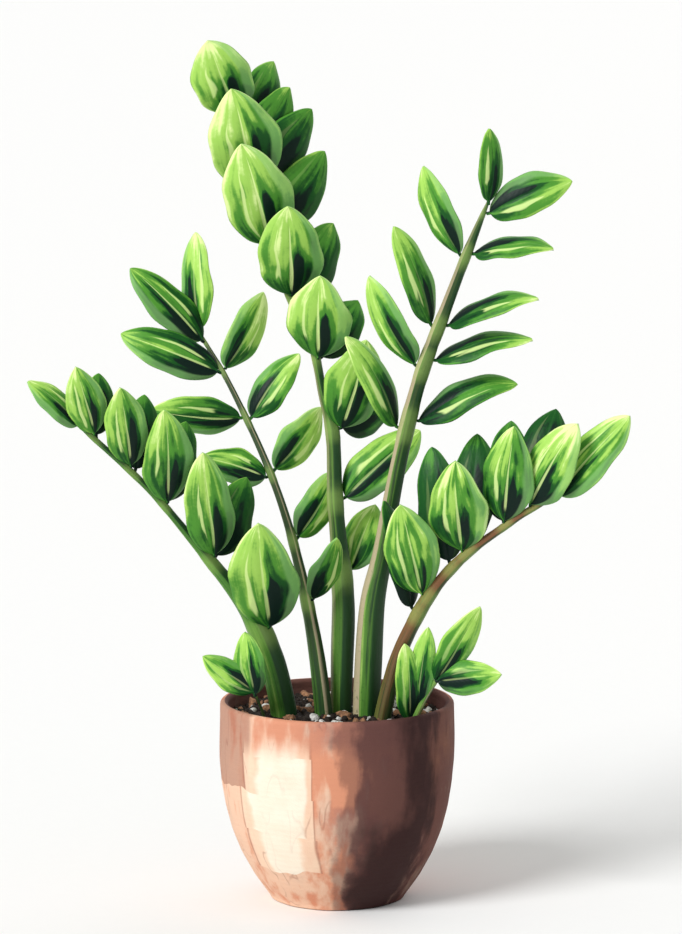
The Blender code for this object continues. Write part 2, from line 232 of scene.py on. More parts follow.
class ZZ_PG_leaflets(bpy.types.PropertyGroup):
    """Sizes and colours of the leaflets."""

    # The nearly black green is reached in the painted shade beside the midrib. The greyish colour is wax
    # on the underside and a painted sheen on the face towards the shaded margin. The pale lime also
    # paints the highlight stroke near the lit margin.
    night: colour("Night green", "Nearly black green beside the midrib", (0.0030, 0.0150, 0.0100))
    deep: colour("Deep green", "Shaded green", (0.0090, 0.0800, 0.0130))
    leaf: colour("Leaf green", "Main green", (0.074, 0.272, 0.031))
    lime: colour("Lime", "Lit green", (0.345, 0.620, 0.105))
    pale: colour("Pale lime", "Palest streaks", (0.75, 0.93, 0.36))
    wax_and_sheen: colour("Bloom", "Greyish wax towards the shaded margin", (0.27, 0.54, 0.19))
    rib: colour("Midrib", "The midrib", (0.74, 0.92, 0.36))
    thickness: length("Thickness", "Thickness of a blade at its midrib", 0.0013)
    stalk: length("Stalk radius", "Radius of the short stalk", 0.0013)
    groove: length("Groove", "Depth of the midrib's groove in the face", 0.0006)
    keel: length("Keel", "Height of the midrib under the blade", 0.0009)
    spread: FloatProperty(
        name="Spread", description="Width as a share of the plain solid's", default=1.10, min=0.5, max=1.2
    )
    fold: share("Fold", "Rise of each half from the midrib, as a share of half the width", 0.09)
    roll: share("Roll", "Drop of the margins, as a share of half the width", 0.28)
    wave: share("Wave", "Waviness of the margins, as a share of half the width", 0.07)
    wander: share("Wander", "Unevenness of the outline, as a share of half the width", 0.045)


class ZZ_PG_stage(bpy.types.PropertyGroup):
    """The camera and lights."""

    distance: length("Camera distance", "From the camera to the middle of the plant", 3.0)
    elevation: FloatProperty(
        name="Camera elevation", description="Above the horizon", default=radians(8), subtype="ANGLE"
    )
    view: length("Half view", "Half the height that the camera takes in, at the plant", 0.3547)
    key: strength("Key light", "Strength of the light from the left", 2.7)
    fill: strength("Fill light", "Strength of the light from behind", 0.7)
    sky: strength("Room light", "Strength of the even light", 0.55)
    floor: colour("Floor", "Colour of the floor", (0.86, 0.86, 0.85))


# Reading the frame


def points_of(node):
    """The corners of a plain solid, as rows."""
    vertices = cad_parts[node].data.vertices
    flat = np.empty(len(vertices) * 3)
    vertices.foreach_get("co", flat)
    return flat.reshape(-1, 3)


def cut_at(node, level):
    """The points where a plain solid's edges cross a level."""
    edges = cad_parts[node].data.edges
    ends = np.empty(len(edges) * 2, np.int32)
    edges.foreach_get("vertices", ends)
    first, second = points_of(node)[ends.reshape(-1, 2)].swapaxes(0, 1)
    crossing = (first[:, 2] > level) != (second[:, 2] > level)
    first, second = first[crossing], second[crossing]
    part = (level - first[:, 2]) / (second[:, 2] - first[:, 2])
    return first + (second - first) * part[:, None]


def unit(vector):
    """The vector at length 1."""
    return vector / np.linalg.norm(vector)


def middle(points):
    """The middle of the points' box."""
    return (points.min(0) + points.max(0)) / 2


def neck_level(node):
    """The level at which a stem is narrowest, just under its last leaflet."""
    top = points_of(node)[:, 2].max()
    levels = np.linspace(top - 0.001, top - NECK_REACH, 160)
    spans = [np.ptp(cut_at(node, level)[:, :2], axis=0).max() for level in levels]
    widest = int(np.argmax(spans))
    return levels[widest + int(np.argmin(spans[widest:]))]


def blade_of(points, root=None):
    """Where a leaflet lies, from the corners of its plain solid. The root is found if not given."""
    centred = points - points.mean(0)
    axes = np.linalg.svd(centred, full_matrices=False)[2]
    reach = centred @ axes[0]
    ends = [points[reach < reach.min() + END_SLICE], points[reach > reach.max() - END_SLICE]]
    ends.sort(key=lambda end: -np.ptp(end, axis=0).max())
    if root is not None:
        ends.sort(key=lambda end: np.linalg.norm(end.mean(0) - root))
    base = ends[0].mean(0) if root is None else root
    tip = ends[1].mean(0)
    along = unit(tip - base)
    face = unit(np.cross(along, axes[1]))
    rises = (points - base) @ face
    if abs(rises.min()) > rises.max():
        face, rises = -face, -rises
    right = np.cross(along, face)
    half_width = np.ptp(points @ right) / 2
    return Blade(base, along, face, right, np.linalg.norm(tip - base), half_width, rises.max())


def distances(line):
    """How far along a line each of its points is."""
    return np.concatenate(([0.0], np.cumsum(np.linalg.norm(np.diff(line, axis=0), axis=1))))


def stem_line(node, top):
    """Centres and radii along a stem, evenly spaced from its foot to a level."""
    levels = np.linspace(points_of(node)[:, 2].min() + 0.0005, top, STEM_ROWS)
    cuts = [cut_at(node, level) for level in levels]
    centres = np.array([middle(cut) for cut in cuts])
    tangents = np.gradient(centres, axis=0)
    radii = []
    for cut, centre, tangent in zip(cuts, centres, tangents):
        out = cut - centre
        out -= np.outer(out @ unit(tangent), unit(tangent))
        radii.append(np.linalg.norm(out, axis=1).max())
    run = distances(centres)
    even = np.linspace(0.0, run[-1], STEM_ROWS)
    centres = np.stack([np.interp(even, run, centres[:, axis]) for axis in range(3)], axis=1)
    return smoothed(centres), smoothed(np.interp(even, run, radii)[:, None])[:, 0]


def smoothed(rows, passes=3):
    """Rows of numbers with their small steps evened out. The ends stay."""
    rows = rows.copy()
    for _ in range(passes):
        rows[1:-1] = (rows[:-2] + 2 * rows[1:-1] + rows[2:]) / 4
    return rows


# Meshes


def loft(name, rings, material, marks=None):
    """A skin over rings of points, with caps, smooth shading and vector attributes."""
    rings = np.asarray(rings)
    count, around = rings.shape[:2]
    grid = np.arange(count * around).reshape(count, around)
    turned = np.roll(grid, -1, axis=1)
    faces = np.stack((grid[:-1], turned[:-1], turned[1:], grid[1:]), axis=2).reshape(-1, 4).tolist()
    faces.append(grid[0][::-1].tolist())
    faces.append(grid[-1].tolist())
    mesh = bpy.data.meshes.new(name)
    mesh.from_pydata(rings.reshape(-1, 3).tolist(), [], faces)
    for mark, values in (marks or {}).items():
        attribute = mesh.attributes.new(mark, "FLOAT_VECTOR", "POINT")
        attribute.data.foreach_set("vector", np.asarray(values, np.float32).reshape(-1))
    return finished(name, mesh, material)


def finished(name, mesh, material):
    """An object in the scene that rides with the plant."""
    mesh.validate()
    mesh.update()
    mesh.shade_smooth()
    mesh.materials.append(material)
    piece = bpy.data.objects.new(name, mesh)
    bpy.context.scene.collection.objects.link(piece)
    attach(piece, "root")
    return piece


def face_out(piece):
    """Turn a closed mesh's faces outwards if its volume comes out negative."""
    mesh = piece.data
    mesh.calc_loop_triangles()
    corners = np.empty(len(mesh.vertices) * 3)
    mesh.vertices.foreach_get("co", corners)
    order = np.empty(len(mesh.loop_triangles) * 3, np.int32)
    mesh.loop_triangles.foreach_get("vertices", order)
    triangles = corners.reshape(-1, 3)[order.reshape(-1, 3)]
    if np.linalg.det(triangles - middle(corners.reshape(-1, 3))).sum() < 0:
        mesh.flip_normals()


# Materials


class Paint:
    """A material whose nodes are added one by one."""

    def __init__(self, name):
        self.material = bpy.data.materials.new(name)
        self.material.use_nodes = True
        self.tree = self.material.node_tree
        self.shader = self.tree.nodes["Principled BSDF"]

    def feed(self, socket, value):
        """Link a socket to another, or set its value."""
        if isinstance(value, bpy.types.NodeSocket):
            self.tree.links.new(value, socket)
        elif value is not None:
            socket.default_value = value

    def node(self, kind, inputs, **settings):
        """A node with its settings and its inputs, by name or number."""
        made = self.tree.nodes.new(kind)
        for key, value in settings.items():
            setattr(made, key, value)
        for key, value in inputs.items():
            self.feed(made.inputs[key], value)
        return made

    def math(self, operation, first, second=0.0):
        """One step of arithmetic."""
        return self.node("ShaderNodeMath", {0: first, 1: second}, operation=operation).outputs[0]

    def times(self, first, second):
        """The product of two values."""
        return self.math("MULTIPLY", first, second)

    def total(self, *terms):
        """The sum of (value, weight) pairs."""
        result = 0.0
        for value, weight in terms:
            inputs = {0: value, 1: weight, 2: result}
            result = self.node("ShaderNodeMath", inputs, operation="MULTIPLY_ADD").outputs[0]
        return result

    def step(self, value, low, high, start=0.0, end=1.0):
        """A smooth step from start to end while the value goes from low to high."""
        inputs = {0: value, 1: low, 2: high, 3: start, 4: end}
        return self.node("ShaderNodeMapRange", inputs, interpolation_type="SMOOTHSTEP").outputs[0]

    def mix(self, factor, first, second):
        """A blend of two colours."""
        inputs = {0: factor, 6: rgba(first), 7: rgba(second)}
        return self.node("ShaderNodeMix", inputs, data_type="RGBA").outputs[2]

    def ramp(self, value, stops):
        """A colour for each value, from (place, colour) stops."""
        made = self.node("ShaderNodeValToRGB", {0: value})
        elements = made.color_ramp.elements
        while len(elements) < len(stops):
            elements.new(0.5)
        for element, (place, shade) in zip(elements, stops):
            element.position = place
            element.color = rgba(shade)
        return made.outputs[0]

    def noise(self, vector, scale, detail=3.0, roughness=0.5, distortion=0.0):
        """Soft random values from 0 to 1."""
        inputs = {"Vector": vector, "Scale": scale, "Detail": detail, "Roughness": roughness}
        inputs["Distortion"] = distortion
        return self.node("ShaderNodeTexNoise", inputs).outputs[0]

    def even_noise(self, vector, scale, detail):
        """Soft random values round 0."""
        return self.math("SUBTRACT", self.noise(vector, scale, detail), 0.5)

    def wash(self, across, across_scale, along, along_scale, offset, detail):
        """Soft random values round 0 that stretch along a blade."""
        place = self.join(self.times(across, across_scale), self.times(along, along_scale), offset)
        return self.math("SUBTRACT", self.noise(place, 1.0, detail, 0.5, 0.3), 0.5)

    def layers(self, value, count, depth):
        """The value drawn towards evenly spaced levels, as washes laid over each other would be."""
        wave = self.math("SINE", self.times(value, count * 2 * pi))
        return self.total((value, 1.0), (wave, -depth))

    def stroke(self, across, half_width, along, start, end):
        """A tapering brush stroke along a blade."""
        wide = self.times(self.step(along, start, end, 1.6, 0.4), half_width)
        off = self.math("DIVIDE", self.math("ABSOLUTE", across), wide)
        begun = self.step(along, start, start + 0.08)
        ends = self.times(begun, self.step(along, end - 0.10, end, 1.0, 0.0))
        return self.times(self.step(off, 0.45, 1.0, 1.0, 0.0), ends)

    def join(self, x, y, z):
        """A vector from three numbers."""
        return self.node("ShaderNodeCombineXYZ", {0: x, 1: y, 2: z}).outputs[0]

    def split(self, vector):
        """The three numbers of a vector."""
        return self.node("ShaderNodeSeparateXYZ", {0: vector}).outputs

    def mark(self, name):
        """The three numbers of a mesh attribute."""
        return self.split(self.node("ShaderNodeAttribute", {}, attribute_name=name).outputs["Vector"])

    def place(self, output="Object"):
        """The point or the direction in the plant's own frame."""
        return self.node("ShaderNodeTexCoord", {}).outputs[output]

    def bump(self, height, distance, amount):
        """A surface normal raised by a height."""
        inputs = {"Height": height, "Distance": distance, "Strength": amount}
        return self.node("ShaderNodeBump", inputs).outputs[0]

    def finish(self, colour, roughness, normal, **plain):
        """Feed the shader. Plain values are set on its own sockets."""
        self.feed(self.shader.inputs["Base Color"], colour)
        self.feed(self.shader.inputs["Roughness"], roughness)
        self.feed(self.shader.inputs["Normal"], normal)
        for key, value in plain.items():
            self.shader.inputs[key.replace("_", " ")].default_value = value
        return self.material


def rgba(shade):
    """A colour with its alpha, or a socket as it is."""
    return shade if isinstance(shade, bpy.types.NodeSocket) else (*tuple(shade)[:3], 1.0)


def leaf_material(name, looks, light):
    """A waxy blade, painted in washes that run from its base to its point, with painted shade on one
    half and at its base. light: how lit its rows are painted, which sets its painted highlight and sheen.
    """
    paint = Paint(name)
    across, along, seed = paint.mark("lay")
    tone, stripes, core = paint.mark("tint")
    dark_side, underside, pale_rib = paint.mark("side")
    margin = paint.math("ABSOLUTE", across)
    shaded = paint.times(across, dark_side)
    offset = paint.times(seed, 9.7)
    broad = paint.wash(across, 1.7, along, 1.5, offset, 2.0)
    narrow = paint.wash(across, 5.2, along, 1.1, offset, 2.5)
    patch = paint.wash(across, 2.4, along, 2.6, paint.math("ADD", offset, 31.0), 1.0)
    grain = paint.math("SUBTRACT", paint.noise(paint.place(), 330.0, 4.0, 0.6), 0.5)
    # painted shade: the dark wedge beside the midrib on the shaded half, the deep green round it, and the
    # dark base
    from_wedge = paint.math("ABSOLUTE", paint.total((shaded, 1.0), (broad, 0.25), (-0.24, 1.0)))
    reach = paint.total((along, 1.0), (patch, 0.55), (from_wedge, 0.9))
    near_wedge = paint.step(from_wedge, 0.13, 0.19, 1.0, 0.0)
    wedge = paint.times(near_wedge, paint.step(reach, 0.50, 0.60, 1.0, 0.0))
    round_it = paint.times(paint.step(shaded, -0.30, 0.05), paint.step(reach, 0.62, 0.86, 1.0, 0.0))
    foot = paint.step(paint.total((along, 1.0), (patch, 0.5)), 0.10, 0.42, 1.0, 0.0)
    dark = paint.times(paint.total((wedge, 0.38), (round_it, 0.19), (foot, 0.23)), core)
    value = paint.total(
        (tone, 1.0),
        (paint.times(paint.total((broad, 0.72), (narrow, 0.56), (patch, 0.44)), stripes), 1.0),
        (dark, -1.0),
        # the shaded half a little darker all along: painted shade
        (paint.step(shaded, -0.25, 0.40), -0.10),
        (paint.step(along, 0.40, 0.90), 0.17),
        (paint.step(margin, 0.87, 0.94), 0.11),
        (paint.step(along, 0.80, 0.97), 0.12),
        (grain, 0.16),
    )
    layered = paint.layers(value, 4, 0.037)
    shades = (looks.night, looks.deep, looks.leaf, looks.lime, looks.pale)
    top = paint.ramp(layered, [(place / 4, shade) for place, shade in enumerate(shades)])
    # a greyish band at the shaded margin, stronger on rows painted lit: a painted sheen of reflected
    # light
    wax_and_sheen = paint.times(paint.step(paint.total((shaded, 1.0), (patch, 0.3)), 0.58, 0.70), light)
    top = paint.mix(paint.times(wax_and_sheen, 0.55), top, looks.wax_and_sheen)
    # pale strokes: along the midrib, and a painted highlight nearer to the lit margin, as strong as the
    # rows are painted lit
    rib_at = paint.total((across, 1.0), (patch, 0.05))
    rib = paint.stroke(rib_at, 0.055, paint.total((along, 1.0), (patch, 0.25)), 0.06, 0.86)
    top = paint.mix(paint.times(rib, pale_rib), top, looks.rib)
    second_at = paint.total((shaded, 1.0), (patch, 0.25), (0.44, 1.0))
    second_wide = paint.total((pale_rib, -0.09), (0.13, 1.0))
    second_run = paint.total((along, 1.0), (broad, 0.9))
    second = paint.stroke(second_at, second_wide, second_run, 0.20, 0.78)
    top = paint.mix(paint.times(second, paint.times(light, 0.82)), top, looks.pale)
    # the underside, duller and more even, with painted shade at its base
    stripes_below = paint.total((broad, 1.1), (narrow, 1.3), (grain, 0.2))
    under_tone = paint.total((stripes_below, 1.0), (foot, -0.30), (margin, 0.12), (0.42, 1.0))
    below = paint.ramp(under_tone, ((0.10, looks.deep), (0.42, looks.leaf), (0.85, looks.lime)))
    # the greyish wax, evenly over the underside
    below = paint.mix(0.22, below, looks.wax_and_sheen)
    below = paint.mix(paint.step(margin, 0.02, 0.07, 0.55, 0.0), below, looks.rib)
    skin = paint.mix(underside, top, below)
    veins = paint.math("SINE", paint.total((along, 75.0), (margin, -26.0), (seed, 5.0)))
    normal = paint.bump(paint.total((veins, 0.12), (grain, 0.8), (narrow, 0.9)), 0.00025, 0.5)
    rough = paint.total((grain, 0.20), (underside, 0.12), (broad, 0.12), (0.44, 1.0))
    return paint.finish(skin, rough, normal, Specular_IOR_Level=0.13)


def stem_material(looks):
    """A stem with lengthwise streaks, a pale strip that is a painted highlight where it runs down the
    lit left edge, and painted shade down its right side.
    """
    paint = Paint("stem_skin")
    rightward, frontward, run = paint.mark("lay")
    tone, tan, tan_at = paint.mark("tint")
    ring, top, seed = paint.mark("side")
    brown, shade, tan_wide = paint.mark("turn")
    offset = paint.times(seed, 6.3)
    slow = paint.join(rightward, frontward, paint.total((run, 2.6), (offset, 1.0)))
    fast = paint.join(rightward, frontward, paint.total((run, 5.0), (offset, 1.0)))
    streak = paint.noise(slow, 2.1, 2.0, 0.55)
    fine = paint.noise(fast, 8.0, 3.0, 0.6)
    fleck = paint.noise(paint.place(), 420.0, 3.0, 0.6)
    wander = paint.total((streak, 1.0), (-0.5, 1.0))
    hairs = paint.total((fine, 1.0), (-0.5, 1.0))
    # the value falls towards the right: painted shade
    value = paint.total(
        (tone, 1.0), (wander, 1.5), (hairs, 0.7), (rightward, -0.16), (fleck, 0.12), (top, -0.34)
    )
    stops = ((0.0, looks.deep), (0.5, looks.green), (1.0, looks.lime))
    skin = paint.ramp(paint.layers(value, 2, 0.055), stops)
    # the pale tan strip, a painted highlight where it runs down the lit left edge
    off_strip = paint.math("ABSOLUTE", paint.total((rightward, 1.0), (tan_at, -1.0), (wander, 0.5)))
    within = paint.math("DIVIDE", paint.total((off_strip, 1.0), (hairs, 0.25)), tan_wide)
    strip = paint.step(within, 0.75, 1.15, 1.0, 0.0)
    strip = paint.times(strip, paint.times(tan, paint.step(top, 0.75, 1.0, 1.0, 0.35)))
    skin = paint.mix(strip, skin, looks.tan)
    patchy = paint.step(paint.total((fine, 1.0), (streak, 0.6)), 0.50, 0.78)
    browning = paint.times(paint.step(top, 0.0, 0.50, 0.35, 1.0), patchy)
    skin = paint.mix(paint.times(browning, brown), skin, looks.brown)
    # painted shade down the right side
    rightmost = paint.total((rightward, 1.0), (wander, 0.45), (hairs, 0.25), (shade, 0.62))
    dark = paint.times(paint.step(rightmost, 0.62, 0.80), paint.total((shade, 0.5), (0.5, 1.0)))
    skin = paint.mix(dark, skin, looks.deep)
    skin = paint.mix(paint.times(ring, 0.35), skin, looks.lime)
    specks = paint.times(paint.step(fleck, 0.60, 0.70), paint.step(top, 0.0, 0.45, 0.50, 0.12))
    skin = paint.mix(specks, skin, looks.deep)
    normal = paint.bump(paint.total((fine, 1.0), (fleck, 0.35)), 0.0005, 0.6)
    return paint.finish(skin, paint.total((fine, 0.25), (0.38, 1.0)), normal, Specular_IOR_Level=0.35)


def clay_material(looks):
    """Bare terracotta under washes that have run down the wall and dried with an edge, with a painted
    highlight on the left, painted shade on the right and painted shade on the inner wall.
    """
    paint = Paint("terracotta_clay")
    place = paint.place()
    x, y, z = paint.split(place)
    reach = paint.math("SQRT", paint.total((paint.times(x, x), 1.0), (paint.times(y, y), 1.0)))
    side = paint.math("DIVIDE", x, reach)
    front = paint.step(paint.math("DIVIDE", y, reach), -0.10, 0.25, 1.0, 0.0)
    tall = paint.join(x, y, paint.times(z, 0.30))
    cloud = paint.even_noise(place, 21.0, 4.0)
    blotch = paint.even_noise(place, 48.0, 5.0)
    runs = paint.even_noise(tall, 95.0, 4.0)
    drops = paint.even_noise(tall, 34.0, 2.0)
    grit = paint.even_noise(place, 900.0, 3.0)
    # brush strokes: each level of the wall is shifted sideways by its own amount
    level = paint.math("SNAP", paint.total((z, 1.0), (drops, 0.020)), 0.031)
    shift = paint.even_noise(paint.join(paint.times(side, 0.04), 0.0, level), 60.0, 1.0)
    # clay, from orange to rosy, thinner and paler in places; leaning rosier towards the shaded right and
    # paler towards the lit left, as painted shade and light
    rosiness = paint.step(paint.total((cloud, 1.0), (runs, 0.5), (side, 0.10)), -0.06, 0.14)
    skin = paint.mix(rosiness, looks.clay, looks.rosy)
    thin = paint.step(paint.total((runs, 1.0), (cloud, 0.7), (side, -0.20), (z, -1.2)), -0.16, 0.10)
    skin = paint.mix(paint.times(thin, 0.70), skin, looks.pale)
    # a rosy band round the rim, made stronger on the right by painted shade
    rim = paint.step(paint.total((z, 1.0), (drops, 0.030), (blotch, 0.030)), 0.120, 0.142)
    skin = paint.mix(paint.times(rim, paint.step(side, -0.45, 0.15, 0.15, 0.75)), skin, looks.rosy)
    # rosy stain high on the left
    leftmost = paint.total((side, -1.0), (shift, 0.22))
    corner = paint.times(paint.step(leftmost, 0.70, 0.73), paint.step(level, 0.082, 0.090))
    skin = paint.mix(paint.times(paint.times(corner, front), 0.55), skin, looks.rust)
    # painted highlight on the front left: a pale panel in two coats
    off = paint.math("ABSOLUTE", paint.total((side, 1.0), (0.50, 1.0), (shift, 0.40), (drops, 0.10)))
    under_rim = paint.step(paint.total((z, 1.0), (drops, 0.05)), 0.118, 0.142, 1.0, 0.0)
    upright = paint.times(paint.times(paint.step(level, 0.010, 0.030), under_rim), front)
    wide = paint.times(paint.step(off, 0.300, 0.325, 1.0, 0.0), upright)
    ragged = paint.total((off, 1.0), (cloud, 0.35))
    narrow = paint.times(paint.step(ragged, 0.170, 0.235, 1.0, 0.0), upright)
    skin = paint.mix(paint.times(wide, 0.80), skin, looks.pale)
    skin = paint.mix(paint.times(narrow, paint.step(blotch, -0.20, 0.20, 1.0, 0.70)), skin, looks.painted_highlight)
    # a rust line along the outer edge of the painted highlight
    from_edge = paint.math("ABSOLUTE", paint.total((off, 1.0), (-0.318, 1.0)))
    outlined = paint.times(paint.step(from_edge, 0.0, 0.014, 0.50, 0.0), upright)
    skin = paint.mix(outlined, skin, looks.rust)
    # dried edges of drips, in places only
    drip_edge = paint.step(paint.math("ABSOLUTE", drops), 0.0, 0.012, 0.40, 0.0)
    uncovered = paint.math("SUBTRACT", 1.0, paint.times(narrow, 0.75))
    dried = paint.times(paint.times(drip_edge, paint.step(cloud, -0.02, 0.05)), uncovered)
    skin = paint.mix(paint.times(dried, paint.step(side, 0.10, 0.30, 1.0, 0.3)), skin, looks.rust)
    # painted shade on the front right: umber in two coats, darkest low down, lifted again at the far
    # right by painted reflected light
    low = paint.step(z, 0.0, 0.10, 0.14, 0.0)
    high = paint.step(z, 0.09, 0.14, 0.0, 0.10)
    lean = paint.total((side, 1.0), (drops, 0.40), (runs, 0.26), (blotch, 0.30), (low, 1.0), (high, 1.0))
    fade = paint.step(paint.total((side, 1.0), (runs, 0.4), (drops, 0.2)), 0.74, 0.90, 1.0, 0.55)
    coats = paint.total((paint.step(lean, 0.02, 0.12), 0.52), (paint.step(lean, 0.20, 0.32), 0.42))
    skin = paint.mix(paint.times(paint.times(coats, front), fade), skin, looks.umber)
    deepest = paint.total((lean, 1.0), (paint.step(z, 0.02, 0.11, 0.26, 0.0), 1.0), (cloud, 0.5))
    deepest = paint.times(paint.step(deepest, 0.46, 0.74), paint.times(front, fade))
    skin = paint.mix(paint.times(deepest, 0.85), skin, looks.night)
    # painted shade on the inner wall, where the surface faces the planter's axis
    normal_x, normal_y, _ = paint.split(paint.place("Normal"))
    inside = paint.total((paint.times(x, normal_x), 1.0), (paint.times(y, normal_y), 1.0))
    skin = paint.mix(paint.step(inside, -0.02, -0.0005, 0.92, 0.0), skin, looks.umber)
    thrown = paint.math("SINE", paint.total((z, 1500.0), (cloud, 9.0)))
    normal = paint.bump(paint.total((grit, 1.0), (runs, 1.2), (thrown, 0.10)), 0.0006, 0.5)
    rough = paint.total((grit, 0.25), (cloud, 0.15), (0.74, 1.0))
    return paint.finish(skin, rough, normal, Specular_IOR_Level=0.12)


def grain_material(name, main, other, size):
    """Dull, speckled crumbs of one kind."""
    paint = Paint(name)
    speck = paint.noise(paint.place(), size, 4.0, 0.65)
    skin = paint.mix(paint.step(speck, 0.38, 0.64), main, other)
    normal = paint.bump(speck, 0.0012, 0.8)
    return paint.finish(skin, paint.total((speck, 0.2), (0.72, 1.0)), normal, Specular_IOR_Level=0.25)


def floor_material(looks):
    """Matt pale paper with the faintest tooth."""
    paint = Paint("studio_paper")
    tooth = paint.noise(paint.place(), 90.0, 3.0)
    tinted = [part * 0.985 for part in looks.floor]
    skin = paint.mix(tooth, looks.floor, tinted)
    return paint.finish(skin, 0.9, paint.bump(tooth, 0.0002, 0.3), Specular_IOR_Level=0.1)


# Planter and soil


def outer_radius(level):
    """Outer radius of the planter's wall at a level."""
    cut = cut_at("pot", level)
    return np.hypot(cut[:, 0], cut[:, 1]).max()


def inner_radius(level):
    """Inner radius of the planter's wall at a level above its floor."""
    cut = cut_at("pot", level)
    reach = np.hypot(cut[:, 0], cut[:, 1])
    return reach[reach < reach.max() - 0.4 * wall_thickness()].max()


def wall_thickness():
    """Outer rim radius less the soil's radius, which follows the inner wall."""
    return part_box("pot")[1].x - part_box("soil")[1].x


def planter_profile(looks):
    """(radius, height) points from the middle of the inner floor over the lip to the foot."""
    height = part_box("pot")[1].z
    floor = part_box("soil")[0].z
    lip = wall_thickness() / 2
    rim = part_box("pot")[1].x
    straight = height - lip
    rising = np.linspace(floor + 0.0005, straight - 0.001, 26)
    inside = [(inner_radius(level), level) for level in rising]
    turns = np.linspace(pi, 0.0, 9)
    over = [(rim - lip + lip * cos(turn), straight + lip * sin(turn)) for turn in turns]
    falling = np.linspace(straight - 0.001, looks.edge, 34)
    outside = [(outer_radius(level), level) for level in falling]
    foot = outside[-1][0]
    turns = np.linspace(0.3, pi / 2, 4)
    corner = [(foot - looks.edge * (1 - cos(turn)), looks.edge * (1 - sin(turn))) for turn in turns]
    start = [(0.004, floor), (inside[0][0] - 0.001, floor)]
    return [*start, *inside, *over, *outside, *corner, (0.004, 0.0)]


def make_planter(looks):
    """The thrown planter, a little uneven all round."""
    rings = []
    for radius, height in planter_profile(looks):
        ring = []
        for k in range(looks.sides):
            angle = 2 * pi * k / looks.sides
            stray = noise.noise(Vector((cos(angle) * 2.6, sin(angle) * 2.6, height * 22))) * looks.wobble
            ring.append(((radius + stray) * cos(angle), (radius + stray) * sin(angle), height))
        rings.append(ring)
    piece = loft("planter", rings, clay_material(looks))
    face_out(piece)
    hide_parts("pot")


def soil_height(x, y, top, looks):
    """The soil's level at a place: a slight mound with lumps. top is the soil solid's highest corner."""
    edge = hypot(x, y) / top.x
    mound = top.z - 0.0035 * max(edge - 0.6, 0.0) / 0.4
    lumps = noise.noise(Vector((x, y, 0.3)) * 95) * 0.7 + noise.noise(Vector((x, y, 0.9)) * 260) * 0.45
    return mound + lumps * looks.relief * 0.8


def circle(radius):
    """Places evenly round a level circle."""
    angles = np.linspace(0, 2 * pi, BED_SIDES, endpoint=False)
    return [(radius * cos(angle), radius * sin(angle)) for angle in angles]


def make_soil_bed(looks):
    """The body of soil: a lumpy top that meets the wall, and the planter's own shape below."""
    low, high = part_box("soil")
    edge = high.x
    rings = []
    for radius in np.linspace(0.001, edge - 0.0005, 46):
        rings.append([(x, y, soil_height(x, y, high, looks)) for x, y in circle(radius)])
    for level in np.linspace(high.z - 0.008, low.z + 0.001, 12):
        rings.append([(x, y, level) for x, y in circle(inner_radius(level) - 0.0008)])
    darker = [part * 0.45 for part in looks.peat]
    piece = loft("soil_bed", rings, grain_material("peat", looks.peat, darker, 700.0))
    face_out(piece)
    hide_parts("soil")


def lump(rng, centre, radius, stretch):
    """Corners of one rough crumb."""
    angle = rng.uniform(0, pi)
    axis = Vector((rng.random(), rng.random(), rng.random() + 0.1))
    turn = Matrix.Rotation(angle, 3, axis)
    corners = []
    for corner in LUMP_CORNERS:
        out = 1.0 + rng.uniform(-0.28, 0.28)
        shaped = Vector((corner[0] * stretch, corner[1], corner[2] * 0.75)) * (radius * out)
        corners.append(tuple(centre + turn @ shaped))
    return corners


def lump_shape():
    """A ball of 42 corners and its faces, for crumbs to start from."""
    ball = bmesh.new()
    bmesh.ops.create_icosphere(ball, subdivisions=2, radius=1.0)
    corners = [tuple(corner.co) for corner in ball.verts]
    faces = [[corner.index for corner in face.verts] for face in ball.faces]
    ball.free()
    return corners, faces


LUMP_CORNERS, LUMP_FACES = lump_shape()


def scatter(name, count, radius, stretch, material, seed, stems, looks):
    """Loose crumbs on the soil, clear of the stems."""
    rng = random.Random(seed)
    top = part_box("soil")[1]
    reach = top.x
    corners, faces = [], []
    placed = 0
    while placed < count:
        x, y = rng.uniform(-reach, reach), rng.uniform(-reach, reach)
        size = radius * rng.uniform(0.55, 1.5)
        if hypot(x, y) > reach - size * 1.3:
            continue
        gaps = [hypot(x - foot_x, y - foot_y) - foot_radius for foot_x, foot_y, foot_radius in stems]
        if min(gaps) < size:
            continue
        centre = Vector((x, y, soil_height(x, y, top, looks) + size * 0.25))
        faces += [[corner + len(corners) for corner in face] for face in LUMP_FACES]
        corners += lump(rng, centre, size, stretch)
        placed += 1
    mesh = bpy.data.meshes.new(name)
    mesh.from_pydata(corners, [], faces)
    piece = finished(name, mesh, material)


def stem_feet():
    """(x, y, radius) of each stem where it leaves the soil."""
    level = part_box("soil")[1].z + 0.001
    feet = []
    for node in [f"{frond}_stem" for frond in FRONDS] + list(SHOOTS):
        cut = cut_at(node, level)
        centre = middle(cut)
        feet.append((centre[0], centre[1], np.ptp(cut[:, :2], axis=0).max() / 2))
    return feet


# Stems


